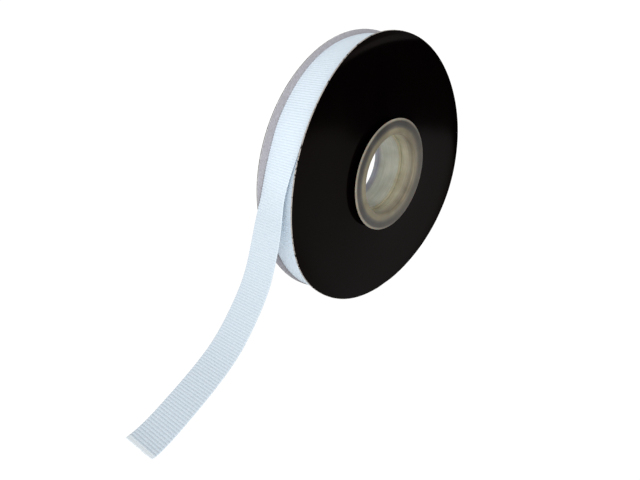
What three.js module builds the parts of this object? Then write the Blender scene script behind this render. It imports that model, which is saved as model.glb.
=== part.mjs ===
// A roll of white grosgrain ribbon on its spool, standing on the rims of its two card flanges.
// A two-part plastic hub holds the flanges, and the ribbon is wound on it between them. The loose end
// leaves the roll at the front (-Y), falls past the rims and curves out until it lies on the surface.
// Millimetres, +Z up. The spool's axis is along X. The origin is on the surface that the spool stands
// on, in the middle of the space that the whole part covers.

import * as THREE from "three";

// Driving dimensions, in millimetres and degrees
const RIBBON_WIDTH = 15;
const SHEET_THICKNESS = 1; // the real cloth is 0.35 thick
const CLEARANCE = 0.3; // between neighbouring pieces
const FLANGE_RADIUS = 61.5;
const CARD_THICKNESS = 0.5;
const FLAT_SPOT_DEPTH = 0.3; // how far the rims are pressed flat where they stand
const ROLL_RADIUS = 58; // where the loose end leaves it
const FRONT_BORE_RADIUS = 18.5;
const BACK_BORE_RADIUS = 17.7;
const SLEEVE_RADIUS = 20.7;
const HUB_DROP = 0.8; // the hub hangs this much low in the cards' holes
const HUB_SHIFT = 0.2; // and this much towards +Y
const LIP_RADIUS = 26;
const LIP_FACE = 11.6; // distance of the lips' outer faces from the middle of the spool
const LIP_THICKNESS = 2.4; // at its root
const LIP_EDGE = 0.9; // thickness at its rim, whose back is hollowed
const LIP_HOLLOW = 3.7; // how far in from the rim the hollow reaches
const LIP_ROUNDING = 0.6;
const HUB_SEAM = 4; // the two hub halves meet here, in front of the middle
const FLARE = 3.2; // how far the front flange's rim bends away from the ribbon
const FLARE_DIRECTION = 70; // degrees from the top, towards the loose end

// The outermost turn from where it starts under the loose end, round to where the loose end starts:
// it hangs slack round the bottom and the back. Degrees from the top, and radius
const OUTER_TURN = [
  { angle: 50, radius: 56.7 },
  { angle: 75, radius: 56.8 },
  { angle: 97, radius: 57.5 },
  { angle: 115, radius: 58.8 },
  { angle: 128, radius: 60.1 },
  { angle: 139, radius: 60.8 },
  { angle: 160, radius: 60.9 },
  { angle: 210, radius: 60.6 },
  { angle: 270, radius: 60.3 },
  { angle: 320, radius: 60 },
  { angle: 350, radius: 59.3 },
  { angle: 362, radius: 58.8 },
  { angle: 378, radius: 58.6 },
  { angle: 394, radius: 58.2 },
  { angle: 410, radius: 58 },
];

// The loose end: the roll lets it go at this angle from the top, and it starts a little before that
const TAIL_START_ANGLE = 50;
const TAIL_LEAVE_ANGLE = 62.5;
// Middle line of the loose end: distance from the spool's axis towards the front, and height
const TAIL_ROUTE = [
  { out: 60.8, up: 69.3 },
  { out: 65.7, up: 54.0 },
  { out: 70.8, up: 38.9 },
  { out: 80.5, up: 25.1 },
  { out: 92.6, up: 14.2 },
  { out: 107.4, up: 6.3 },
  { out: 117.6, up: 2.2 },
  { out: 122.9, up: 0.6 },
  { out: 127.1, up: 0.5 },
];

// Fineness of the round shapes
const RIM_SEGMENTS = 72;
const HUB_SEGMENTS = 48;
const CORNER_STEPS = 2;
const CARD_RINGS = 5;
const TAIL_STEPS = 56;

const AXIS_HEIGHT = FLANGE_RADIUS - FLAT_SPOT_DEPTH;
const HALF_WIDTH = RIBBON_WIDTH / 2;
const ROLL_HOLE_RADIUS = SLEEVE_RADIUS + CLEARANCE;
const CARD_HOLE_RADIUS = ROLL_HOLE_RADIUS + Math.hypot(HUB_DROP, HUB_SHIFT);
const CARD_INNER_FACE = HALF_WIDTH + CLEARANCE;

const card = new THREE.MeshStandardMaterial({ color: 0x14100e, roughness: 0.55, metalness: 0 });
const plastic = new THREE.MeshStandardMaterial({ color: 0xb9b39c, roughness: 0.35, metalness: 0 });
const cloth = new THREE.MeshStandardMaterial({ color: 0xe3eefa, roughness: 0.8, metalness: 0 });

const spool = new THREE.Group();

// A point at an angle from the top towards the loose end, as (toward +Y, height)
function onCircle(radius, degrees) {
  const angle = THREE.MathUtils.degToRad(degrees);
  return new THREE.Vector2(-radius * Math.sin(angle), AXIS_HEIGHT + radius * Math.cos(angle));
}

// Turns a profile of (radius, place along the axis) about the spool's axis
function turnAboutAxis(profile, segments) {
  const geometry = new THREE.LatheGeometry(profile, segments);
  geometry.rotateZ(-Math.PI / 2);
  geometry.translate(0, 0, AXIS_HEIGHT);
  return geometry;
}

// Extrudes an outline drawn in (toward +Y, height) across the ribbon's width
function extrudeAcross(outline, holes = []) {
  const shape = new THREE.Shape(outline);
  shape.holes = holes;
  const geometry = new THREE.ExtrudeGeometry(shape, { depth: RIBBON_WIDTH, bevelEnabled: false });
  const toSpool = new THREE.Matrix4().makeBasis(
    new THREE.Vector3(0, 1, 0),
    new THREE.Vector3(0, 0, 1),
    new THREE.Vector3(1, 0, 0),
  );
  geometry.applyMatrix4(toSpool);
  geometry.translate(-HALF_WIDTH, 0, 0);
  return geometry;
}

function addPiece(name, geometry, material) {
  const piece = new THREE.Mesh(geometry, material);
  piece.name = name;
  spool.add(piece);
}

// One half of the hub: a sleeve through the card and the roll, ending outside in a rounded lip that
// is thick at its root and thin at its rim. side is 1 for the front half and -1 for the back half,
// bore is the half's own bore, and inner is where its sleeve ends.
function hubHalf(side, bore, inner) {
  const lipBack = LIP_FACE - LIP_THICKNESS;
  const round = LIP_ROUNDING;
  const start = side * inner;
  const path = new THREE.Path();
  path.moveTo(bore, start);
  path.lineTo(bore, LIP_FACE - round);
  path.absarc(bore + round, LIP_FACE - round, round, Math.PI, Math.PI / 2, true);
  path.lineTo(LIP_RADIUS - round, LIP_FACE);
  path.absarc(LIP_RADIUS - round, LIP_FACE - round, round, Math.PI / 2, 0, true);
  path.lineTo(LIP_RADIUS, LIP_FACE - LIP_EDGE);
  path.lineTo(LIP_RADIUS - LIP_HOLLOW, lipBack);
  path.lineTo(SLEEVE_RADIUS, lipBack);
  path.lineTo(SLEEVE_RADIUS, start);
  path.lineTo(bore, start);
  const profile = path.getPoints(CORNER_STEPS);
  const placed = profile.map((point) => new THREE.Vector2(point.x, side * point.y));
  const geometry = turnAboutAxis(side > 0 ? placed.reverse() : placed, HUB_SEGMENTS);
  return geometry.translate(0, HUB_SHIFT, -HUB_DROP);
}

// A card ring whose rim leans away from the ribbon by a smooth bow: the square of the radius times
// half of one plus the cosine of twice the angle from the direction of the greatest lean.
// The rim is flat where it stands.
function cardFlange(side, flare) {
  const radii = [];
  for (let i = 0; i <= CARD_RINGS; i += 1) {
    radii.push(THREE.MathUtils.lerp(CARD_HOLE_RADIUS, FLANGE_RADIUS, i / CARD_RINGS));
  }
  const inner = radii.map((radius) => new THREE.Vector2(radius, side * CARD_INNER_FACE));
  const outerFace = side * (CARD_INNER_FACE + CARD_THICKNESS);
  const outer = radii.map((radius) => new THREE.Vector2(radius, outerFace)).reverse();
  const profile = [...inner, ...outer, inner[0].clone()];
  const geometry = turnAboutAxis(side > 0 ? profile : profile.reverse(), RIM_SEGMENTS);
  const direction = THREE.MathUtils.degToRad(FLARE_DIRECTION);
  const position = geometry.getAttribute("position");
  for (let i = 0; i < position.count; i += 1) {
    const y = position.getY(i);
    const rise = position.getZ(i) - AXIS_HEIGHT;
    const angle = Math.atan2(-y, rise);
    const reach = Math.hypot(y, rise) / FLANGE_RADIUS;
    const lean = (flare * reach ** 2 * (1 + Math.cos(2 * (angle - direction)))) / 2;
    position.setX(i, position.getX(i) + side * lean);
    position.setZ(i, Math.max(position.getZ(i), 0));
  }
  return geometry;
}

// The wound ribbon: a ring about the hub whose outside is the outermost turn. It steps in where the
// loose end starts, and grows back on the way round.
function woundRoll() {
  const stops = OUTER_TURN.map((stop) => new THREE.Vector2(stop.angle, stop.radius));
  const turn = new THREE.SplineCurve(stops).getSpacedPoints(RIM_SEGMENTS);
  const outline = turn.map((point) => onCircle(point.y, point.x));
  const hole = new THREE.Path();
  hole.absarc(HUB_SHIFT, AXIS_HEIGHT - HUB_DROP, ROLL_HOLE_RADIUS, 0, 2 * Math.PI, false);
  const rim = new THREE.Path(hole.getPoints(RIM_SEGMENTS / 2));
  return extrudeAcross(outline, [rim]);
}

// The loose end: a sheet about its middle line, first along the roll and then down the route.
// It ends on the surface, where its lower side is flat.
function looseEnd() {
  const half = SHEET_THICKNESS / 2;
  const onRoll = ROLL_RADIUS - half;
  const gapAngle = THREE.MathUtils.radToDeg(CLEARANCE / onRoll);
  const first = TAIL_START_ANGLE + gapAngle;
  const middle = (first + TAIL_LEAVE_ANGLE) / 2;
  const held = [first, middle, TAIL_LEAVE_ANGLE].map((degrees) => onCircle(onRoll, degrees));
  const free = TAIL_ROUTE.map((stop) => new THREE.Vector2(-stop.out, stop.up));
  const line = new THREE.SplineCurve([...held, ...free]);
  const under = [];
  const over = [];
  for (let i = 0; i <= TAIL_STEPS; i += 1) {
    const point = line.getPointAt(i / TAIL_STEPS);
    const ahead = line.getTangentAt(i / TAIL_STEPS);
    const outward = new THREE.Vector2(ahead.y, -ahead.x);
    under.push(point.clone().addScaledVector(outward, -half));
    over.push(point.clone().addScaledVector(outward, half));
  }
  const outline = [...under, ...over.reverse()];
  outline.forEach((corner) => corner.setY(Math.max(corner.y, 0)));
  return extrudeAcross(outline);
}

addPiece("flange_front", cardFlange(1, FLARE), card);
addPiece("flange_back", cardFlange(-1, 0), card);
addPiece("hub_front", hubHalf(1, FRONT_BORE_RADIUS, HUB_SEAM + CLEARANCE / 2), plastic);
addPiece("hub_back", hubHalf(-1, BACK_BORE_RADIUS, HUB_SEAM - CLEARANCE / 2), plastic);
addPiece("ribbon_roll", woundRoll(), cloth);
addPiece("ribbon_tail", looseEnd(), cloth);

const covered = new THREE.Box3().setFromObject(spool).getCenter(new THREE.Vector3());
spool.position.set(-covered.x, -covered.y, 0);

const part = new THREE.Group();
part.add(spool);

export default part;
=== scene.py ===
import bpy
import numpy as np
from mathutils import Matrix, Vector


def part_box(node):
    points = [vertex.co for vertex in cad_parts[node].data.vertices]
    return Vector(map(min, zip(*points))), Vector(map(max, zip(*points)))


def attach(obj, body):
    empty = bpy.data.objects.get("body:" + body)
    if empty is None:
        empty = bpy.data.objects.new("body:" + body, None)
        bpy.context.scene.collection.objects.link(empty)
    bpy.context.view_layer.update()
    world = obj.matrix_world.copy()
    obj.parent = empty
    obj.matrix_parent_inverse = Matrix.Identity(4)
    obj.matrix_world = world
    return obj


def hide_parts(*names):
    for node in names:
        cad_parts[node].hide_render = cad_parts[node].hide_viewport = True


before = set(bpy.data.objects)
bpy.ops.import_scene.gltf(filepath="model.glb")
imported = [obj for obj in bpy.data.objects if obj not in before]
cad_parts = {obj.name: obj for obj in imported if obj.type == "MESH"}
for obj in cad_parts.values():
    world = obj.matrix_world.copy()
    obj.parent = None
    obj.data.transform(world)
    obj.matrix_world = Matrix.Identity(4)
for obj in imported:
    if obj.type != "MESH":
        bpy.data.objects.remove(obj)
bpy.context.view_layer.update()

# A roll of white grosgrain ribbon on a spool: two black coated card flanges on a milky plastic hub,
# the wound ribbon with its cross ribs, and its loose end, which falls past the rims and runs out
# along the surface to a heat-cut end. Shapes are worked out in millimetres about a point on the
# surface under the middle of the spool's axis, with +X along the axis, and then put into the frame.

MM = 0.001

# The spool's own sizes, from the frame
flange_low, flange_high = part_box("flange_back")
lip_low, lip_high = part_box("hub_front")
_, sleeve_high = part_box("hub_back")
_, roll_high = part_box("ribbon_roll")
FLANGE_RADIUS = (flange_high[1] - flange_low[1]) / 2 / MM
AXIS_Y = (flange_high[1] + flange_low[1]) / 2 / MM
AXIS_Z = flange_high[2] / MM - FLANGE_RADIUS
CARD_INNER_FACE = -flange_high[0] / MM
CARD_THICKNESS = (flange_high[0] - flange_low[0]) / MM
LIP_RADIUS = (lip_high[1] - lip_low[1]) / 2 / MM
LIP_FACE = lip_high[0] / MM
HUB_BACK = (lip_high[1] + lip_low[1]) / 2 / MM - AXIS_Y
HUB_DROP = AXIS_Z - (lip_high[2] + lip_low[2]) / 2 / MM
HUB_SEAM = (lip_low[0] + sleeve_high[0]) / 2 / MM
HALF_WIDTH = roll_high[0] / MM

# The spool, in millimetres and degrees. Angles go from the top towards the loose end.
CLEARANCE = 0.3  # between the hub and the wound ribbon
SLEEVE_RADIUS = 20.7
FRONT_BORE_RADIUS = 18.5
BACK_BORE_RADIUS = 17.7
BORE_DRAFT = 0.7  # the back bore narrows by this much towards its mouth
CARD_HOLE_RADIUS = 21.8
FLARE = 3.2  # how far the front card's rim leans out
FLARE_DIRECTION = 68
OFF_HUB = 0.35  # how far the front card stands off at the hub
BACK_CARD_TRIM = 0.6  # what the back card lacks at its top
PUNCHED_CORNER = 0.07  # rounding of the cards' corners
DRAGGED_CORNER = 0.16  # rounding of the corner that the die drags down
FRONT_CURLS = [(6, 24, 1.6), (122, 20, 1.5), (258, 50, -0.65)]  # angle, spread and size
BACK_CURLS = [(0, 40, 0.15)]
CARD_FACE, CARD_BACK, CARD_EDGE, CARD_CORNER = 0, 1, 2, 3  # materials of a card

# The weave
RIB_PITCH = 1.05
RIB_SKEW = 3.6  # the ribs run across at this many degrees from square
RIB_RELIEF = 0.16
RIB_STEPS = 8  # rows for each rib
RIB_WAVER = 0.05
WAVER_LENGTH = 2.4
WARP_PITCH = 0.36
VALLEY = 0.1  # half the cloth's thickness between two ribs
SELVEDGE = 0.9
SELVEDGE_HOOK = 0.22  # the ribs bend back by this much at the selvedges
SELVEDGE_ROUNDING = 0.25
SMOOTH_SELVEDGE = 0.4  # the front selvedge has no ribs
CUT_BAND = 1.5  # length of the melted seam at the cut end
CUT_SKEW = 4.8
CUT_ROUNDING = 0.2
UV_START = 1000 * RIB_PITCH  # the weave's place at the cut end
SINGLE_PLY = 0.85  # how white the loose end is beside the wound plies

# How the ribbon is wound and how the loose end lies. WOUND_FROM and TWIST_AT are lengths from the
# cut end, and SPREAD_FROM is a radius.
TURN = 0.36  # thickness of a wound turn
JOIN_ANGLE = 50  # the outermost turn becomes the loose end here
LEAVE_ANGLE = 62.5
WOUND_FROM = 100
DRIFT = -0.28  # how far the loose end has moved sideways
DRIFT_FADE = 6.0
START_DRIFT = 1.6  # how far the outermost turn's start lies towards the front card
START_DRIFT_FADE = 55
TWIST = 2.5  # how far the back selvedge is held back
TWIST_AT = 103
TWIST_BEFORE, TWIST_AFTER = 10.0, 14.0
SPREAD = 2.6  # how far the outer turns have spread towards the front card
SPREAD_AT = 76
SPREAD_WIDTH = 34
SPREAD_FROM = 46

# The outermost turn: angle from the top towards the loose end, and radius outside. It starts under
# the loose end, hangs slack round the bottom and the back, and is tight again where it leaves.
OUTER_TURN = [
    (-310, 57.05),
    (-294, 57.1),
    (-278, 58.5),
    (-262, 58.5),
    (-245, 58.9),
    (-232, 60.1),
    (-221, 60.85),
    (-200, 61.0),
    (-150, 60.7),
    (-90, 60.3),
    (-40, 60.0),
    (-10, 59.3),
    (2, 58.8),
    (18, 58.6),
    (34, 58.15),
    (50, 57.6),
    (62.5, 57.6),
]

# Middle line of the loose end: distance out from the axis and height above the surface
LOOSE_END = [
    (60.8, 69.3),
    (63.3, 59.4),
    (67.1, 47.4),
    (72.3, 36.0),
    (79.9, 25.7),
    (89.3, 16.4),
    (100.9, 9.4),
    (113.2, 3.9),
    (127.1, 0.25),
]

# Camera: place in millimetres about the same point, and the photograph's framing
CAMERA_PLACE = (127.3, -164.4, 145.4)
CAMERA_AZIMUTH = 38.29
CAMERA_ELEVATION = 25.3
CAMERA_LENS = 26.98
CAMERA_SHIFT = (-0.0741, -0.0705)


def to_linear(code):
    """sRGB hex to linear RGBA: the power curve above the toe and the straight line below it."""
    value = np.array([int(code[i:i + 2], 16) for i in (1, 3, 5)]) / 255
    bright = ((value + 0.055) / 1.055) ** 2.4
    linear = np.where(value > 0.04045, bright, value / 12.92)
    return (*linear.tolist(), 1.0)


def add_node(tree, kind, inputs=None, **settings):
    """Adds a node, gives it its settings, and fills its inputs with values or with other outputs."""
    made = tree.nodes.new(kind)
    for key, value in settings.items():
        setattr(made, key, value)
    for key, value in (inputs or {}).items():
        if isinstance(value, bpy.types.NodeSocket):
            tree.links.new(value, made.inputs[key])
        else:
            made.inputs[key].default_value = value
    return made


def new_material(name):
    made = bpy.data.materials.new(name)
    made.use_nodes = True
    made.node_tree.nodes.clear()
    return made, made.node_tree


def set_ramp(ramp, stops):
    """Gives a colour ramp its stops of (place, sRGB hex)."""
    elements = ramp.color_ramp.elements
    while len(elements) < len(stops):
        elements.new(1.0)
    for element, (place, code) in zip(elements, stops):
        element.position = place
        element.color = to_linear(code)


def finish_material(tree, shader):
    add_node(tree, "ShaderNodeOutputMaterial", {"Surface": shader.outputs[0]})


def in_frame(points):
    """Millimetres about the spool's foot to metres in the frame."""
    return (points + np.array([0.0, AXIS_Y, 0.0])) * MM


def grid_mesh(name, points, materials, wrap_rows=False, wrap_columns=False, zones=None, uv=None):
    """A mesh of quads over a grid of points [row, column, xyz] in millimetres. A wrapped grid joins
    its last row or column to the first, and rows that aren't wrapped are closed by a face each.
    zones gives the material of each column, and uv the weave's place [row, column] in millimetres."""
    rows, columns = points.shape[:2]
    row_count = rows if wrap_rows else rows - 1
    column_count = columns if wrap_columns else columns - 1
    row, column = np.meshgrid(np.arange(row_count), np.arange(column_count), indexing="ij")
    steps = ((0, 0), (1, 0), (1, 1), (0, 1))
    corner_rows = np.stack([row + down for down, _ in steps], -1).reshape(-1, 4)
    corner_columns = np.stack([column + right for _, right in steps], -1).reshape(-1, 4)
    faces = (corner_rows % rows) * columns + corner_columns % columns
    placed = in_frame(points.reshape(-1, 3))
    a, b, c, d = (placed[faces[:, i]] for i in range(4))
    volume = np.einsum("ij,ij->", a, np.cross(b, c)) + np.einsum("ij,ij->", a, np.cross(c, d))
    inside_out = volume < 0
    face_list = faces[:, ::-1].tolist() if inside_out else faces.tolist()
    if not wrap_rows and wrap_columns:
        first = list(range(columns))
        last = [(rows - 1) * columns + i for i in range(columns)]
        face_list.append(first[::-1] if inside_out else first)
        face_list.append(last if inside_out else last[::-1])
    mesh = bpy.data.meshes.new(name)
    mesh.from_pydata(placed.tolist(), [], face_list)
    mesh.polygons.foreach_set("use_smooth", np.ones(len(face_list), bool))
    for one in materials:
        mesh.materials.append(one)
    if zones is not None:
        per_face = np.zeros(len(face_list), np.int32)
        per_face[:len(faces)] = np.tile(zones, row_count)
        mesh.polygons.foreach_set("material_index", per_face)
    if uv is not None:
        corner_uv = uv[corner_rows % uv.shape[0], corner_columns % uv.shape[1]]
        corner_uv = corner_uv[:, ::-1] if inside_out else corner_uv
        layer = mesh.uv_layers.new(name="weave")
        values = np.zeros((len(mesh.loops), 2))
        values[:corner_uv.size // 2] = corner_uv.reshape(-1, 2)
        layer.data.foreach_set("uv", values.ravel())
    mesh.validate()
    made = bpy.data.objects.new(name, mesh)
    bpy.context.scene.collection.objects.link(made)
    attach(made, "root")
    return made


def turned(profile, segments):
    """Rings of a profile of (radius, x) about the spool's axis: y is minus the radius times the sine
    of the angle from the top, and the height is the axis plus the radius times its cosine."""
    angle = np.linspace(0, 2 * np.pi, segments, endpoint=False)[:, None]
    radius, x = profile[:, 0], profile[:, 1]
    y = -radius * np.sin(angle)
    z = AXIS_Z + radius * np.cos(angle)
    return np.stack([np.broadcast_to(x, y.shape), y, z], -1), angle


def corner(centre, radius, start, end, count=5):
    """Points of a rounded corner on a profile: an arc about its centre, in degrees."""
    angle = np.radians(np.linspace(start, end, count))
    return np.stack([centre[0] + radius * np.cos(angle), centre[1] + radius * np.sin(angle)], -1)


# Materials

def woven_grosgrain():
    """Polyester grosgrain, woven white: thick weft ribs under fine warp ends that cross them in
    turn, so each rib looks brick-like close up, with a cool white and a soft sheen. The valleys
    between the ribs are painted a little darker than the crests, as painted shade. The single ply
    of the loose end lets some light through, so it is a little less white than the wound plies,
    and its heat-cut end is a smooth pale seam of melted yarn."""
    made, tree = new_material("woven_white_grosgrain")
    weave = add_node(tree, "ShaderNodeUVMap", uv_map="weave")
    split = add_node(tree, "ShaderNodeSeparateXYZ", {"Vector": weave.outputs["UV"]})
    across, along = split.outputs["X"], split.outputs["Y"]
    ribs = add_node(tree, "ShaderNodeMath", {0: along, 1: 1 / RIB_PITCH}, operation="MULTIPLY")
    rib = add_node(tree, "ShaderNodeMath", {0: ribs.outputs[0]}, operation="FLOOR")
    turn = add_node(tree, "ShaderNodeMath", {0: rib.outputs[0], 1: np.pi}, operation="MULTIPLY")
    ends = add_node(tree, "ShaderNodeMath", {0: across, 1: np.pi / WARP_PITCH, 2: turn.outputs[0]},
                    operation="MULTIPLY_ADD")
    floats = add_node(tree, "ShaderNodeMath", {0: ends.outputs[0]}, operation="SINE")
    within = add_node(tree, "ShaderNodeMath", {0: ribs.outputs[0]}, operation="FRACT")
    half = add_node(tree, "ShaderNodeMath", {0: within.outputs[0], 1: np.pi}, operation="MULTIPLY")
    crest = add_node(tree, "ShaderNodeMath", {0: half.outputs[0]}, operation="SINE")
    yarn = add_node(tree, "ShaderNodeTexNoise", {"Vector": weave.outputs["UV"], "Scale": 0.9,
                                                 "Detail": 4.0, "Roughness": 0.6})
    fuzz = add_node(tree, "ShaderNodeMath", {0: yarn.outputs["Fac"], 1: 0.5, 2: floats.outputs[0]},
                    operation="MULTIPLY_ADD")
    bump = add_node(tree, "ShaderNodeBump", {"Strength": 0.25, "Distance": 0.03 * MM,
                                             "Height": fuzz.outputs[0]})
    # painted shade: the colour is darker in the valleys between the ribs and lighter on the crests
    shade = add_node(tree, "ShaderNodeValToRGB", {"Fac": crest.outputs[0]})
    set_ramp(shade, [(0.0, "#DBE7F2"), (0.7, "#E0EDF7")])
    tint = add_node(tree, "ShaderNodeMixRGB", {"Fac": 0.35, "Color1": shade.outputs["Color"],
                                               "Color2": yarn.outputs["Fac"]}, blend_type="OVERLAY")
    leaving, fade = UV_START - WOUND_FROM, 8
    plies = add_node(tree, "ShaderNodeMapRange",
                     {"Value": along, "From Min": leaving - fade, "From Max": leaving + fade,
                      "To Min": 1.0, "To Max": SINGLE_PLY})
    backed = add_node(tree, "ShaderNodeMixRGB", {"Fac": 1.0, "Color1": tint.outputs["Color"],
                                                 "Color2": plies.outputs[0]}, blend_type="MULTIPLY")
    melt = add_node(tree, "ShaderNodeMapRange",
                    {"Value": along, "From Min": UV_START - CUT_BAND - 0.1,
                     "From Max": UV_START - CUT_BAND + 0.3})
    sealed = add_node(tree, "ShaderNodeMixRGB", {"Fac": melt.outputs[0],
                                                 "Color1": backed.outputs["Color"],
                                                 "Color2": to_linear("#E6EEF3")})
    cloth = add_node(tree, "ShaderNodeBsdfPrincipled",
                     {"Base Color": sealed.outputs["Color"], "Roughness": 0.7,
                      "Specular IOR Level": 0.3, "Sheen Weight": 0.15, "Sheen Roughness": 0.4,
                      "Normal": bump.outputs["Normal"]})
    finish_material(tree, cloth)
    return made


def wound_edges():
    """The same polyester seen on its selvedges, turn upon turn: paler and plainer, with the fine
    streaks of the stacked edges."""
    made, tree = new_material("stacked_ribbon_selvedges")
    place = add_node(tree, "ShaderNodeTexCoord")
    grain = add_node(tree, "ShaderNodeTexNoise", {"Vector": place.outputs["Object"],
                                                  "Scale": 0.5 / MM, "Detail": 3.0})
    shade = add_node(tree, "ShaderNodeValToRGB", {"Fac": grain.outputs["Fac"]})
    set_ramp(shade, [(0.2, "#E4E8F0"), (0.8, "#F6FAFF")])
    cloth = add_node(tree, "ShaderNodeBsdfPrincipled",
                     {"Base Color": shade.outputs["Color"], "Roughness": 0.85,
                      "Subsurface Weight": 1.0, "Subsurface Radius": (1.0, 1.0, 1.0),
                      "Subsurface Scale": 1.2 * MM})
    finish_material(tree, cloth)
    return made


def coated_black_card():
    """Solid board with a black printed and varnished face: near black with a faint warm cast, a
    satin varnish that carries fine scuffs, and a trace of the board's surface under it."""
    made, tree = new_material("black_varnished_card")
    place = add_node(tree, "ShaderNodeTexCoord")
    board = add_node(tree, "ShaderNodeTexNoise", {"Vector": place.outputs["Object"],
                                                  "Scale": 0.6 / MM, "Detail": 3.0})
    scuff = add_node(tree, "ShaderNodeTexNoise", {"Vector": place.outputs["Object"],
                                                  "Scale": 0.02 / MM, "Detail": 6.0,
                                                  "Roughness": 0.7})
    shade = add_node(tree, "ShaderNodeValToRGB", {"Fac": scuff.outputs["Fac"]})
    set_ramp(shade, [(0.3, "#020101"), (0.7, "#050202")])
    rough = add_node(tree, "ShaderNodeMapRange", {"Value": scuff.outputs["Fac"], "From Min": 0.3,
                                                  "From Max": 0.7, "To Min": 0.12, "To Max": 0.18})
    bump = add_node(tree, "ShaderNodeBump", {"Strength": 0.05, "Distance": 0.02 * MM,
                                             "Height": board.outputs["Fac"]})
    varnish = add_node(tree, "ShaderNodeBsdfPrincipled",
                       {"Base Color": shade.outputs["Color"], "Roughness": rough.outputs[0],
                        "Specular IOR Level": 0.022, "Specular Tint": to_linear("#FFC2BC"),
                        "Normal": bump.outputs["Normal"]})
    finish_material(tree, varnish)
    return made


def raw_grey_card():
    """The unprinted back of recycled board: pale cool grey with short darker fibres and flecks."""
    made, tree = new_material("raw_grey_board")
    place = add_node(tree, "ShaderNodeTexCoord")
    fibre = add_node(tree, "ShaderNodeTexNoise", {"Vector": place.outputs["Object"],
                                                  "Scale": 1.2 / MM, "Detail": 5.0,
                                                  "Roughness": 0.65})
    shade = add_node(tree, "ShaderNodeValToRGB", {"Fac": fibre.outputs["Fac"]})
    set_ramp(shade, [(0.3, "#A39FA3"), (0.7, "#B9B5BA")])
    bump = add_node(tree, "ShaderNodeBump", {"Strength": 0.3, "Distance": 0.03 * MM,
                                             "Height": fibre.outputs["Fac"]})
    paper = add_node(tree, "ShaderNodeBsdfPrincipled",
                     {"Base Color": shade.outputs["Color"], "Roughness": 0.85,
                      "Specular IOR Level": 0.25, "Normal": bump.outputs["Normal"]})
    finish_material(tree, paper)
    return made


def scuffed_black_rim(name, worn_from):
    """The outer corner of the black face, dragged down over the edge by the die: brown-black, broken
    into short dashes where it has worn through to the pale board. It is more worn the lower
    worn_from is."""
    made, tree = new_material(name)
    place = add_node(tree, "ShaderNodeTexCoord")
    wear = add_node(tree, "ShaderNodeTexNoise", {"Vector": place.outputs["Object"],
                                                 "Scale": 0.8 / MM, "Detail": 2.0,
                                                 "Roughness": 0.5})
    shade = add_node(tree, "ShaderNodeValToRGB", {"Fac": wear.outputs["Fac"]})
    set_ramp(shade, [(worn_from, "#1A100B"), (worn_from + 0.1, "#A9A39D")])
    paint = add_node(tree, "ShaderNodeBsdfPrincipled",
                     {"Base Color": shade.outputs["Color"], "Roughness": 0.7,
                      "Specular IOR Level": 0.1})
    finish_material(tree, paint)
    return made


def cut_card_edge():
    """The die-cut edge of the board: pale compressed layers with torn fibres."""
    made, tree = new_material("die_cut_board_edge")
    place = add_node(tree, "ShaderNodeTexCoord")
    layers = add_node(tree, "ShaderNodeTexNoise", {"Vector": place.outputs["Object"],
                                                   "Scale": 0.6 / MM, "Detail": 4.0,
                                                   "Roughness": 0.7})
    shade = add_node(tree, "ShaderNodeValToRGB", {"Fac": layers.outputs["Fac"]})
    set_ramp(shade, [(0.35, "#A9A6A4"), (0.65, "#E2E2E2")])
    paper = add_node(tree, "ShaderNodeBsdfPrincipled",
                     {"Base Color": shade.outputs["Color"], "Roughness": 0.9})
    finish_material(tree, paper)
    return made


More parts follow.
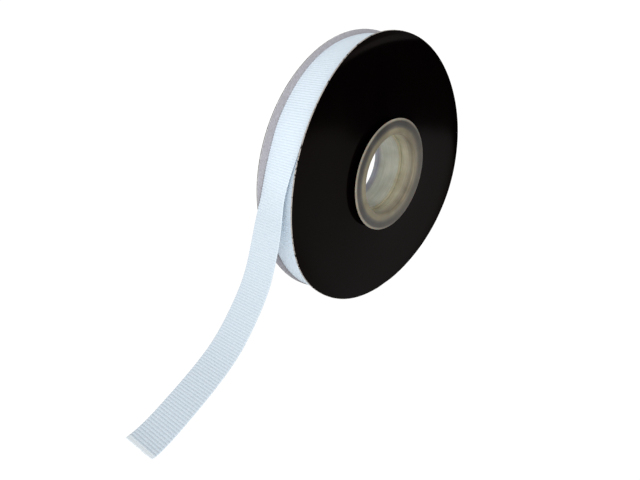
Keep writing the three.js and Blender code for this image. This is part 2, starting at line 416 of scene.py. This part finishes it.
def milky_plastic():
    """Injection-moulded natural polypropylene: milky and a little yellow, with a soft gloss. It is
    thin enough to show what is behind it: grey over the black card, beige over the sleeve's wall,
    and paler where the white ribbon is behind. The lip's edge is painted lighter on the side towards
    the softbox, a painted highlight, and the lip is painted darker on its side that faces back and
    down, as painted shade."""
    made, tree = new_material("natural_moulded_polypropylene")
    place = add_node(tree, "ShaderNodeTexCoord")
    centred = add_node(tree, "ShaderNodeMapping",
                       {"Vector": place.outputs["Object"], "Location":
                        (0, -(AXIS_Y + HUB_BACK) * MM, -(AXIS_Z - HUB_DROP) * MM)})
    split = add_node(tree, "ShaderNodeSeparateXYZ", {"Vector": centred.outputs["Vector"]})
    flat = add_node(tree, "ShaderNodeCombineXYZ", {"Y": split.outputs["Y"], "Z": split.outputs["Z"]})
    radius = add_node(tree, "ShaderNodeVectorMath", {0: flat.outputs["Vector"]}, operation="LENGTH")
    over_lip = add_node(tree, "ShaderNodeMapRange",
                        {"Value": radius.outputs["Value"], "From Min": 18.0 * MM,
                         "From Max": 26.0 * MM})
    # painted highlight: the lip's rim, at the outer end of this ramp, is painted lighter than the grey
    # over the black card
    lip = add_node(tree, "ShaderNodeValToRGB", {"Fac": over_lip.outputs[0]})
    set_ramp(lip, [(0.0, "#6C6551"), (0.41, "#756E57"), (0.52, "#524E46"), (0.64, "#3C3A38"),
                   (0.84, "#403D39"), (0.91, "#7E796C"), (1.0, "#969081")])
    along = add_node(tree, "ShaderNodeMapRange",
                     {"Value": split.outputs["X"], "From Min": -LIP_FACE * MM,
                      "From Max": LIP_FACE * MM})
    wall = add_node(tree, "ShaderNodeValToRGB", {"Fac": along.outputs[0]})
    set_ramp(wall, [(0.0, "#9A9DA4"), (0.13, "#82828B"), (0.2, "#A5A69B"), (0.6, "#AAAA9D"),
                    (0.645, "#A09B83"), (0.8, "#A39D87"), (0.87, "#938C7C"), (0.94, "#7E7767"),
                    (1.0, "#79715F")])
    # painted shade: on the side that faces back and down, away from the softbox, the lip turns to a
    # darker ramp with no light rim
    away_from_light = (0, 0.866, -0.5)
    toward = add_node(tree, "ShaderNodeVectorMath",
                      {0: flat.outputs["Vector"], 1: away_from_light}, operation="DOT_PRODUCT")
    facing = add_node(tree, "ShaderNodeMath", {0: toward.outputs["Value"],
                                               1: radius.outputs["Value"]}, operation="DIVIDE")
    painted_shade_side = add_node(tree, "ShaderNodeMapRange", {"Value": facing.outputs[0], "From Min": -0.2,
                                                     "From Max": 0.7})
    lip_painted_shade = add_node(tree, "ShaderNodeValToRGB", {"Fac": over_lip.outputs[0]})
    set_ramp(lip_painted_shade, [(0.0, "#756E5C"), (0.3, "#6D6655"), (0.45, "#524D42"), (0.66, "#3D382D"),
                       (0.85, "#383227"), (1.0, "#413B30")])
    lip_tone_and_painted_shade = add_node(tree, "ShaderNodeMixRGB", {"Fac": painted_shade_side.outputs[0],
                                                   "Color1": lip.outputs["Color"],
                                                   "Color2": lip_painted_shade.outputs["Color"]})
    inside = add_node(tree, "ShaderNodeMapRange",
                      {"Value": radius.outputs["Value"], "From Min": 18.6 * MM,
                       "From Max": 19.2 * MM})
    body = add_node(tree, "ShaderNodeMixRGB", {"Fac": inside.outputs[0],
                                               "Color1": wall.outputs["Color"],
                                               "Color2": lip_tone_and_painted_shade.outputs["Color"]})
    rings = add_node(tree, "ShaderNodeMapping", {"Vector": centred.outputs["Vector"],
                                                 "Scale": (2.2 / MM, 0.06 / MM, 0.06 / MM)})
    streak = add_node(tree, "ShaderNodeTexNoise", {"Vector": rings.outputs["Vector"], "Scale": 1.0,
                                                   "Detail": 4.0, "Roughness": 0.6})
    cloud = add_node(tree, "ShaderNodeTexNoise", {"Vector": centred.outputs["Vector"],
                                                  "Scale": 0.12 / MM, "Detail": 2.0})
    mottle = add_node(tree, "ShaderNodeMath", {0: streak.outputs["Fac"], 1: cloud.outputs["Fac"]},
                      operation="MULTIPLY")
    spread = add_node(tree, "ShaderNodeMapRange", {"Value": mottle.outputs[0], "From Min": 0.1,
                                                   "From Max": 0.4})
    tint = add_node(tree, "ShaderNodeMixRGB", {"Fac": 0.35, "Color1": body.outputs["Color"],
                                               "Color2": spread.outputs[0]},
                    blend_type="SOFT_LIGHT")
    bump = add_node(tree, "ShaderNodeBump", {"Strength": 0.25, "Distance": 0.03 * MM,
                                             "Height": streak.outputs["Fac"]})
    plastic = add_node(tree, "ShaderNodeBsdfPrincipled",
                       {"Base Color": tint.outputs["Color"], "Roughness": 0.32, "IOR": 1.49,
                        "Specular IOR Level": 0.25, "Subsurface Weight": 0.25,
                        "Subsurface Scale": 1.5 * MM, "Normal": bump.outputs["Normal"]})
    finish_material(tree, plastic)
    return made


def pale_floor():
    """An opal acrylic light table: white, glowing evenly from below, so shadows on it stay faint."""
    made, tree = new_material("opal_light_table")
    acrylic = add_node(tree, "ShaderNodeBsdfPrincipled",
                       {"Base Color": to_linear("#404040"), "Roughness": 0.9,
                        "Specular IOR Level": 0.1, "Emission Color": to_linear("#FFFFFF"),
                        "Emission Strength": 1.0})
    finish_material(tree, acrylic)
    return made


def dark_cloth():
    """Black velvet laid out of view, which only the gloss of the flange and the hub picks up."""
    made, tree = new_material("black_velvet")
    velvet = add_node(tree, "ShaderNodeBsdfPrincipled",
                      {"Base Color": to_linear("#020202"), "Roughness": 1.0,
                       "Specular IOR Level": 0.0})
    finish_material(tree, velvet)
    return made


def grey_paper():
    """Grey sugar paper under the spool, which keeps the light table from lighting the ribbon from
    below as no real table does."""
    made, tree = new_material("grey_sugar_paper")
    paper = add_node(tree, "ShaderNodeBsdfPrincipled",
                     {"Base Color": to_linear("#5C5C5C"), "Roughness": 1.0,
                      "Specular IOR Level": 0.0})
    finish_material(tree, paper)
    return made


def lit_card():
    """A white card far off, which glows of itself in place of a lamp's light on it, and which gloss
    alone picks up. It adds a little to the sheen that the sky gives the flange's top."""
    made, tree = new_material("lit_white_card")
    paper = add_node(tree, "ShaderNodeBsdfPrincipled",
                     {"Base Color": to_linear("#F0F0F0"), "Roughness": 1.0,
                      "Emission Color": to_linear("#FFFFFF"), "Emission Strength": 1.0})
    finish_material(tree, paper)
    return made


# The ribbon

def smooth_line(stops, start_slope, end_slope, count):
    """A curve through stops with no jump in its bend: each stretch is a cubic between two stops, and
    the slopes at the stops solve the equations that make the bends agree. The ends' slopes are given."""
    stops = np.asarray(stops, float)
    gaps = np.linalg.norm(np.diff(stops, axis=0), axis=1)
    size = len(stops)
    system = np.eye(size)
    wanted = np.zeros((size, 2))
    wanted[0], wanted[-1] = start_slope, end_slope
    before, after = gaps[:-1], gaps[1:]
    inner = np.arange(1, size - 1)
    system[inner, inner - 1] = 1 / before
    system[inner, inner] = 2 / before + 2 / after
    system[inner, inner + 1] = 1 / after
    rise = np.diff(stops, axis=0) / gaps[:, None] ** 2
    wanted[1:-1] = 3 * (rise[:-1] + rise[1:])
    slopes = np.linalg.solve(system, wanted)
    reached = np.concatenate([[0], np.cumsum(gaps)])
    place = np.linspace(0, reached[-1], count)
    piece = np.clip(np.searchsorted(reached, place, side="right") - 1, 0, size - 2)
    gap = gaps[piece][:, None]
    t = ((place - reached[piece]) / gaps[piece])[:, None]
    return ((2 * t ** 3 - 3 * t ** 2 + 1) * stops[piece] + (t ** 3 - 2 * t ** 2 + t) * gap * slopes[piece]
            + (3 * t ** 2 - 2 * t ** 3) * stops[piece + 1] + (t ** 3 - t ** 2) * gap * slopes[piece + 1])


def roll_radius(degrees):
    """Radius of the outermost turn's outside at an angle from the top: a smooth line through the
    stops of OUTER_TURN."""
    turn = smooth_line(OUTER_TURN, (1, 0), (1, 0), 2000)
    return np.interp(degrees, turn[:, 0], turn[:, 1])


def ribbon_line():
    """The outermost turn and the loose end as one line of (out, up) points, with the length reached
    at each: the spiral up to the angle where the ribbon leaves, then a smooth line through the
    stops. Also gives the length at which the loose end starts."""
    degrees = np.linspace(JOIN_ANGLE - 360, LEAVE_ANGLE, 4000)
    radius = roll_radius(degrees) - TURN / 2
    angle = np.radians(degrees)
    wound = np.stack([radius * np.sin(angle), AXIS_Z + radius * np.cos(angle)], -1)
    leaving = wound[-1] - wound[-2]
    free = smooth_line([wound[-1], *LOOSE_END], leaving / np.linalg.norm(leaving), (1, 0), 2000)
    line = np.concatenate([wound, free[1:]])
    length = np.concatenate([[0], np.cumsum(np.linalg.norm(np.diff(line, axis=0), axis=1))])
    start = np.interp(JOIN_ANGLE, degrees, length[:len(degrees)])
    return line, length, start


def rib_shape(phase):
    """Height of a rib from 0 in the valleys to 1 on the crests: the sine of half a turn a rib,
    raised to a power under one so that the crests are broad and the valleys narrow."""
    return np.abs(np.sin(np.pi * phase)) ** 0.8


def ribbon_strip(name, first_rib, last_rib, under_columns, cloth, cut_end):
    """A length of ribbon from one rib's valley to another's, counted from the cut end. Rows follow
    the ribs: a row's place along the line falls off with the skew across the width, wavers by a
    small sine that turns over from rib to rib, and bends back in a short hook at the selvedges. A
    point lies off the line's middle by half the cloth's thickness, which swells on the ribs and
    closes to nothing round the selvedges. The back selvedge of the loose end is held back by a bell
    curve of the length, and the ribbon moves sideways by a smooth step and, at its start, by
    another bell curve."""
    over_columns, even_height, evenness, smooth_fade, narrowing = 25, 0.7, 0.8, 0.3, 0.012
    line, length, _ = ribbon_line()
    rows = np.arange(first_rib * RIB_STEPS, last_rib * RIB_STEPS + 1) / RIB_STEPS
    over = HALF_WIDTH * np.sin(np.linspace(-1, 1, over_columns) * np.pi / 2)
    under = HALF_WIDTH * np.linspace(1, -1, under_columns + 2)[1:-1]
    across = np.concatenate([over, under])
    side = np.concatenate([np.ones(len(over)), -np.ones(len(under))])
    rib, x = np.meshgrid(rows, across, indexing="ij")
    edge = np.clip((np.abs(x) - (HALF_WIDTH - SELVEDGE)) / SELVEDGE, 0, 1)
    waver = RIB_WAVER * np.sin(2 * np.pi * x / WAVER_LENGTH + np.pi * np.floor(rib))
    along = length[-1] + (rib + waver * (1 - edge)) * RIB_PITCH
    along = along - (x + HALF_WIDTH) * np.tan(np.radians(RIB_SKEW)) + SELVEDGE_HOOK * edge ** 2
    crest = rib_shape(rib)
    from_cut = -rib * RIB_PITCH
    plain = np.zeros_like(rib)
    if cut_end:
        band = np.clip(1 - from_cut / CUT_BAND, 0, 1)
        slant = np.tan(np.radians(CUT_SKEW)) - np.tan(np.radians(RIB_SKEW))
        along = along - band * ((x + HALF_WIDTH) * slant + SELVEDGE_HOOK * edge ** 2)
        plain = np.clip(band * 3, 0, 1)
    smooth_side = evenness * np.clip((x - (HALF_WIDTH - SMOOTH_SELVEDGE)) / smooth_fade, 0, 1)
    crest = crest * (1 - plain) * (1 - smooth_side) + even_height * np.maximum(plain, smooth_side)
    swell = VALLEY + RIB_RELIEF * crest
    over_edge = np.clip((np.abs(x) - (HALF_WIDTH - SELVEDGE_ROUNDING)) / SELVEDGE_ROUNDING, 0, 1)
    rounding = np.sqrt(np.clip(1 - over_edge ** 2, 0, 1))
    if cut_end:
        over_cut = np.clip(1 - from_cut / CUT_ROUNDING, 0, 1)
        rounding = rounding * np.sqrt(np.clip(1 - over_cut ** 2, 0.05, 1))
    out = np.interp(along, length, line[:, 0])
    up = np.interp(along, length, line[:, 1])
    slope_out = np.interp(along, length, np.gradient(line[:, 0], length))
    slope_up = np.interp(along, length, np.gradient(line[:, 1], length))
    size = np.hypot(slope_out, slope_up)
    lift = side * swell * rounding
    shrink = 1 - narrowing * (1 - crest) * edge
    loose = length[-1] - along
    twist_fade = np.where(loose > TWIST_AT, TWIST_AFTER, TWIST_BEFORE)
    held_back = np.exp(-((loose - TWIST_AT) / twist_fade) ** 2)
    out = out - TWIST * held_back * (HALF_WIDTH - x) / (2 * HALF_WIDTH)
    drift = DRIFT / (1 + np.exp((WOUND_FROM - loose) / DRIFT_FADE))
    drift = drift + START_DRIFT * np.exp(-(along / START_DRIFT_FADE) ** 2)
    points = np.stack([x * shrink + drift, -(out - slope_up / size * lift),
                       up + slope_out / size * lift], -1)
    uv = np.stack([x, rib * RIB_PITCH + UV_START], -1)
    return grid_mesh(name, points, [cloth], wrap_columns=True, uv=uv)


def build_ribbon(cloth, edges):
    """The outermost turn and the loose end, which meet at a rib's valley, and the turns under them.
    The loose end has more columns on its underside, because that shows."""
    spare, hidden_columns, shown_columns = 2, 3, 24
    _, length, start = ribbon_line()
    join = -round((length[-1] - start) / RIB_PITCH)
    first = join - int((start - spare) / RIB_PITCH)
    turn = ribbon_strip("outer_turn", first, join, hidden_columns, cloth, False)
    tail = ribbon_strip("loose_end", join, 0, shown_columns, cloth, True)
    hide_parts("ribbon_roll")
    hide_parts("ribbon_tail")
    build_wound_core(edges)


def build_wound_core(edges):
    """The turns under the outermost one: rings of a profile whose sides are ridged, a ridge a turn
    on the outer turns, each turn set in or out by a small fixed amount. Where the front card leans
    away, the outer turns have spread towards it by a bell curve of the angle times how far out the
    turn lies."""
    segments = 240
    ridged, ridge_points = 24, 4
    ridge_height, deepest_setback, set_in, under_turn = 0.14, 0.22, 0.1, 0.15
    inner = SLEEVE_RADIUS + CLEARANCE
    outer = OUTER_TURN[0][1] - TURN - under_turn
    rng = np.random.default_rng(7)
    place = np.arange(ridged * ridge_points + 1) / ridge_points
    crowns = outer - TURN * place
    setback = rng.uniform(0.0, deepest_setback, ridged + 2)
    ridge = np.abs(np.sin(np.pi * place)) ** 0.6 * ridge_height
    side = ridge - setback[np.floor(place).astype(int)]
    face = HALF_WIDTH - set_in
    up_side = np.stack([crowns[::-1], face + side[::-1]], -1)
    up_side = np.concatenate([[(inner, face - set_in)], up_side])
    down_side = np.stack([up_side[::-1, 0], -up_side[::-1, 1]], -1)
    profile = np.concatenate([up_side, down_side])
    points, angle = turned(profile, segments)
    degrees = np.degrees(angle)
    slack = roll_radius(np.mod(degrees - JOIN_ANGLE, 360) + JOIN_ANGLE - 360) - OUTER_TURN[0][1]
    twelve_degrees = segments // 30
    slack = np.minimum(slack, np.roll(slack, twelve_degrees, axis=0))
    share = np.clip((profile[:, 0] - inner) / (outer - inner), 0, 1)
    radius = profile[:, 0] + slack * share ** 3
    outer_share = np.clip((profile[:, 0] - SPREAD_FROM) / (outer - SPREAD_FROM), 0, 1)
    spread = SPREAD * outer_share * np.exp(-((degrees - SPREAD_AT) / SPREAD_WIDTH) ** 2)
    points[..., 0] = points[..., 0] + spread * (profile[:, 1] > 0)
    points[..., 1] = -radius * np.sin(angle) + HUB_BACK * (1 - share)
    points[..., 2] = AXIS_Z + radius * np.cos(angle) - HUB_DROP * (1 - share)
    made = grid_mesh("wound_turns", points, [edges], wrap_rows=True, wrap_columns=True)
    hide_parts("ribbon_roll")


# The spool

def build_flange(name, node, side, flare, curls, trim, materials):
    """A card ring: rings of a flat profile, moved along the axis by the bow, which is the square of
    the radius times half of one plus the cosine of twice the angle from the direction of the
    greatest lean, by a faint waviness, by a lift off the hub, and by curls of the rim towards the
    ribbon, each a bell curve of (angle, spread, size) round the rim that fades fast inwards. trim
    makes the card smaller towards its top. The rim is flat where it stands."""
    inner_face, outer_face = CARD_INNER_FACE, CARD_INNER_FACE + CARD_THICKNESS
    hole, soft, dragged = CARD_HOLE_RADIUS, PUNCHED_CORNER, DRAGGED_CORNER
    firm, edge_foot, rings, segments = 0.2, 0.12, 28, 256
    hub_reach, curl_fade, waviness = 12, 24, 0.06
    radii = np.linspace(hole + firm, FLANGE_RADIUS - firm - dragged, rings)
    radii = np.concatenate([[hole + soft], radii, [FLANGE_RADIUS - dragged]])
    outward = np.stack([radii, np.full_like(radii, outer_face)], -1)
    rim = np.concatenate([corner((FLANGE_RADIUS - dragged, outer_face - dragged), dragged, 90, 0, 4),
                          [(FLANGE_RADIUS, inner_face + edge_foot)],
                          corner((FLANGE_RADIUS - soft, inner_face + soft), soft, 0, -90, 3)])
    radii = np.concatenate([[FLANGE_RADIUS - soft], radii[1:-1][::-1], [hole + soft]])
    inward = np.stack([radii, np.full_like(radii, inner_face)], -1)
    bore = np.concatenate([corner((hole + soft, inner_face + soft), soft, -90, -180, 3),
                           corner((hole + soft, outer_face - soft), soft, 180, 90, 3)])
    profile = np.concatenate([outward, rim[1:], inward[1:], bore[1:-1]])
    corner_faces = 4
    stretches = [(CARD_FACE, len(outward) - 1), (CARD_CORNER, corner_faces),
                 (CARD_EDGE, len(rim) - 1 - corner_faces), (CARD_BACK, len(inward) - 1),
                 (CARD_EDGE, len(bore) - 1)]
    zones = np.concatenate([np.full(count, zone, np.int32) for zone, count in stretches])
    points, angle = turned(profile, segments)
    reach = profile[:, 0] / FLANGE_RADIUS
    lean = flare * reach ** 2 * (1 + np.cos(2 * (angle - np.radians(FLARE_DIRECTION)))) / 2
    waver = waviness * reach ** 3 * np.sin(5 * angle + 1.3) * np.sin(3 * angle) ** 2
    turned_by = np.degrees(angle)
    curl = sum(size * np.exp(-(((turned_by - place + 180) % 360 - 180) / spread) ** 2)
               for place, spread, size in curls)
    off_hub = OFF_HUB * np.exp(-((profile[:, 0] - hole) / hub_reach) ** 2) * (flare > 0)
    points[..., 0] = side * (points[..., 0] + lean + waver + off_hub - curl * reach ** curl_fade)
    low = 1 - trim / FLANGE_RADIUS * reach * (1 + np.cos(angle)) / 2
    points[..., 1] = points[..., 1] * low
    points[..., 2] = np.maximum(AXIS_Z + (points[..., 2] - AXIS_Z) * low, 0)
    made = grid_mesh(name, points, materials, wrap_rows=True, wrap_columns=True, zones=zones)
    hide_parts(node)


def build_hub_half(name, node, side, bore, draft, plastic):
    """Rings of the half's profile: bore, which narrows by the draft towards its mouth, a rounded
    mouth, the lip's flat face and thin rounded rim, its hollow back, and the sleeve's outside down to
    the end where the halves meet. The hub hangs a little low in the cards."""
    mouth, rim, soft_end, segments = 1.0, 0.25, 0.04, 160
    seam_gap, plain_bore, mouth_depth = 0.01, 1.0, 3.2
    hollow = [(1.0, 0.75), (2.0, 1.6), (3.2, 2.1), (3.9, 2.3)]  # in from the rim, down from the face
    root = LIP_FACE - hollow[-1][1]
    end = side * HUB_SEAM + seam_gap
    inner = bore - draft
    profile = np.concatenate([
        corner((bore + soft_end, end + soft_end), soft_end, 270, 180, 4),
        [(bore, end + plain_bore), (inner, LIP_FACE - mouth_depth)],
        corner((inner + mouth, LIP_FACE - mouth), mouth, 180, 90, 8),
        corner((LIP_RADIUS - rim, LIP_FACE - rim), rim, 90, -60, 9),
        [(LIP_RADIUS - inset, LIP_FACE - depth) for inset, depth in hollow],
        [(SLEEVE_RADIUS, root)],
        corner((SLEEVE_RADIUS - soft_end, end + soft_end), soft_end, 0, -90, 4),
    ])
    points, _ = turned(profile, segments)
    points[..., 0] = side * points[..., 0]
    points = points + np.array([0, HUB_BACK, -HUB_DROP])
    made = grid_mesh(name, points, [plastic], wrap_rows=True, wrap_columns=True)
    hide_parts(node)


# Stage

def build_camera():
    data = bpy.data.cameras.new("camera")
    data.lens = CAMERA_LENS
    data.sensor_width = 36
    data.shift_x, data.shift_y = CAMERA_SHIFT
    data.clip_start = 0.01
    made = bpy.data.objects.new("camera", data)
    azimuth, elevation = np.radians(CAMERA_AZIMUTH), np.radians(CAMERA_ELEVATION)
    level = np.cos(elevation)
    back = Vector((np.sin(azimuth) * level, -np.cos(azimuth) * level, np.sin(elevation)))
    made.rotation_mode = "QUATERNION"
    made.rotation_quaternion = back.to_track_quat("Z", "Y")
    made.location = in_frame(np.array(CAMERA_PLACE)).tolist()
    bpy.context.scene.collection.objects.link(made)
    bpy.context.scene.camera = made


def build_light(name, place, aim, size, power):
    data = bpy.data.lights.new(name, "AREA")
    data.shape = "RECTANGLE"
    data.size, data.size_y = size
    data.energy = power
    made = bpy.data.objects.new(name, data)
    made.location = place
    made.rotation_mode = "QUATERNION"
    made.rotation_quaternion = (Vector(place) - Vector(aim)).to_track_quat("Z", "Y")
    bpy.context.scene.collection.objects.link(made)


def build_sheet(name, corners, material):
    """A flat four-cornered thing of the studio, lying at the given corners."""
    mesh = bpy.data.meshes.new(name)
    mesh.from_pydata(corners, [], [(0, 1, 2, 3)])
    mesh.materials.append(material)
    made = bpy.data.objects.new(name, mesh)
    bpy.context.scene.collection.objects.link(made)
    return made


def laid_flat(left, right, front, rear, height):
    """Corners of a rectangle that lies at a height, in metres."""
    return [(left, front, height), (right, front, height), (right, rear, height),
            (left, rear, height)]


def build_stage():
    """The light table under a white sky, and a softbox on the camera's side. The camera doesn't see
    the other sheets: gloss alone picks up the velvet and the lit card, and matt surfaces alone the
    grey paper. In metres."""
    table, lift = 12.0, 0.001
    velvet_starts, velvet_ends = 0.152, 3.0
    card_corners = [(3.2, 0.35), (4.8, 0), (4.8, 1.1), (3.2, 0.9)]
    build_sheet("floor", laid_flat(-table, table, -table, table, 0), pale_floor())
    velvet = build_sheet("dark_cloth", laid_flat(velvet_starts, velvet_ends, -table, table, lift),
                         dark_cloth())
    sheen = build_sheet("lit_card", [(velvet_ends, y, z) for y, z in card_corners], lit_card())
    for gloss_only in (velvet, sheen):
        gloss_only.visible_camera = False
        gloss_only.visible_diffuse = False
        gloss_only.visible_shadow = False
    paper = build_sheet("grey_paper", laid_flat(-0.04, 0.08, -0.05, 0.06, lift), grey_paper())
    paper.visible_camera = False
    paper.visible_glossy = False
    paper.visible_shadow = False
    world = bpy.data.worlds.new("studio")
    world.use_nodes = True
    tree = world.node_tree
    tree.nodes.clear()
    sky = add_node(tree, "ShaderNodeBackground", {"Color": (1, 1, 1, 1), "Strength": 0.6})
    add_node(tree, "ShaderNodeOutputWorld", {"Surface": sky.outputs[0]})
    bpy.context.scene.world = world
    build_light("softbox", place=(0.62, -0.72, 0.42), aim=(0, 0, 0.05), size=(0.8, 0.8), power=6.3)
    bpy.context.scene.view_settings.view_transform = "Standard"


build_camera()
build_stage()
cloth = woven_grosgrain()
build_ribbon(cloth, wound_edges())
card = [coated_black_card(), raw_grey_card(), cut_card_edge()]
worn_card = [*card, scuffed_black_rim("worn_black_varnish", 0.33)]
scuffed_card = [*card, scuffed_black_rim("scuffed_black_varnish", 0.7)]
build_flange("front_card", "flange_front", 1, FLARE, FRONT_CURLS, 0.0, worn_card)
build_flange("back_card", "flange_back", -1, 0.0, BACK_CURLS, BACK_CARD_TRIM, scuffed_card)
plastic = milky_plastic()
build_hub_half("front_hub", "hub_front", 1, FRONT_BORE_RADIUS, 0.0, plastic)
build_hub_half("back_hub", "hub_back", -1, BACK_BORE_RADIUS, BORE_DRAFT, plastic)
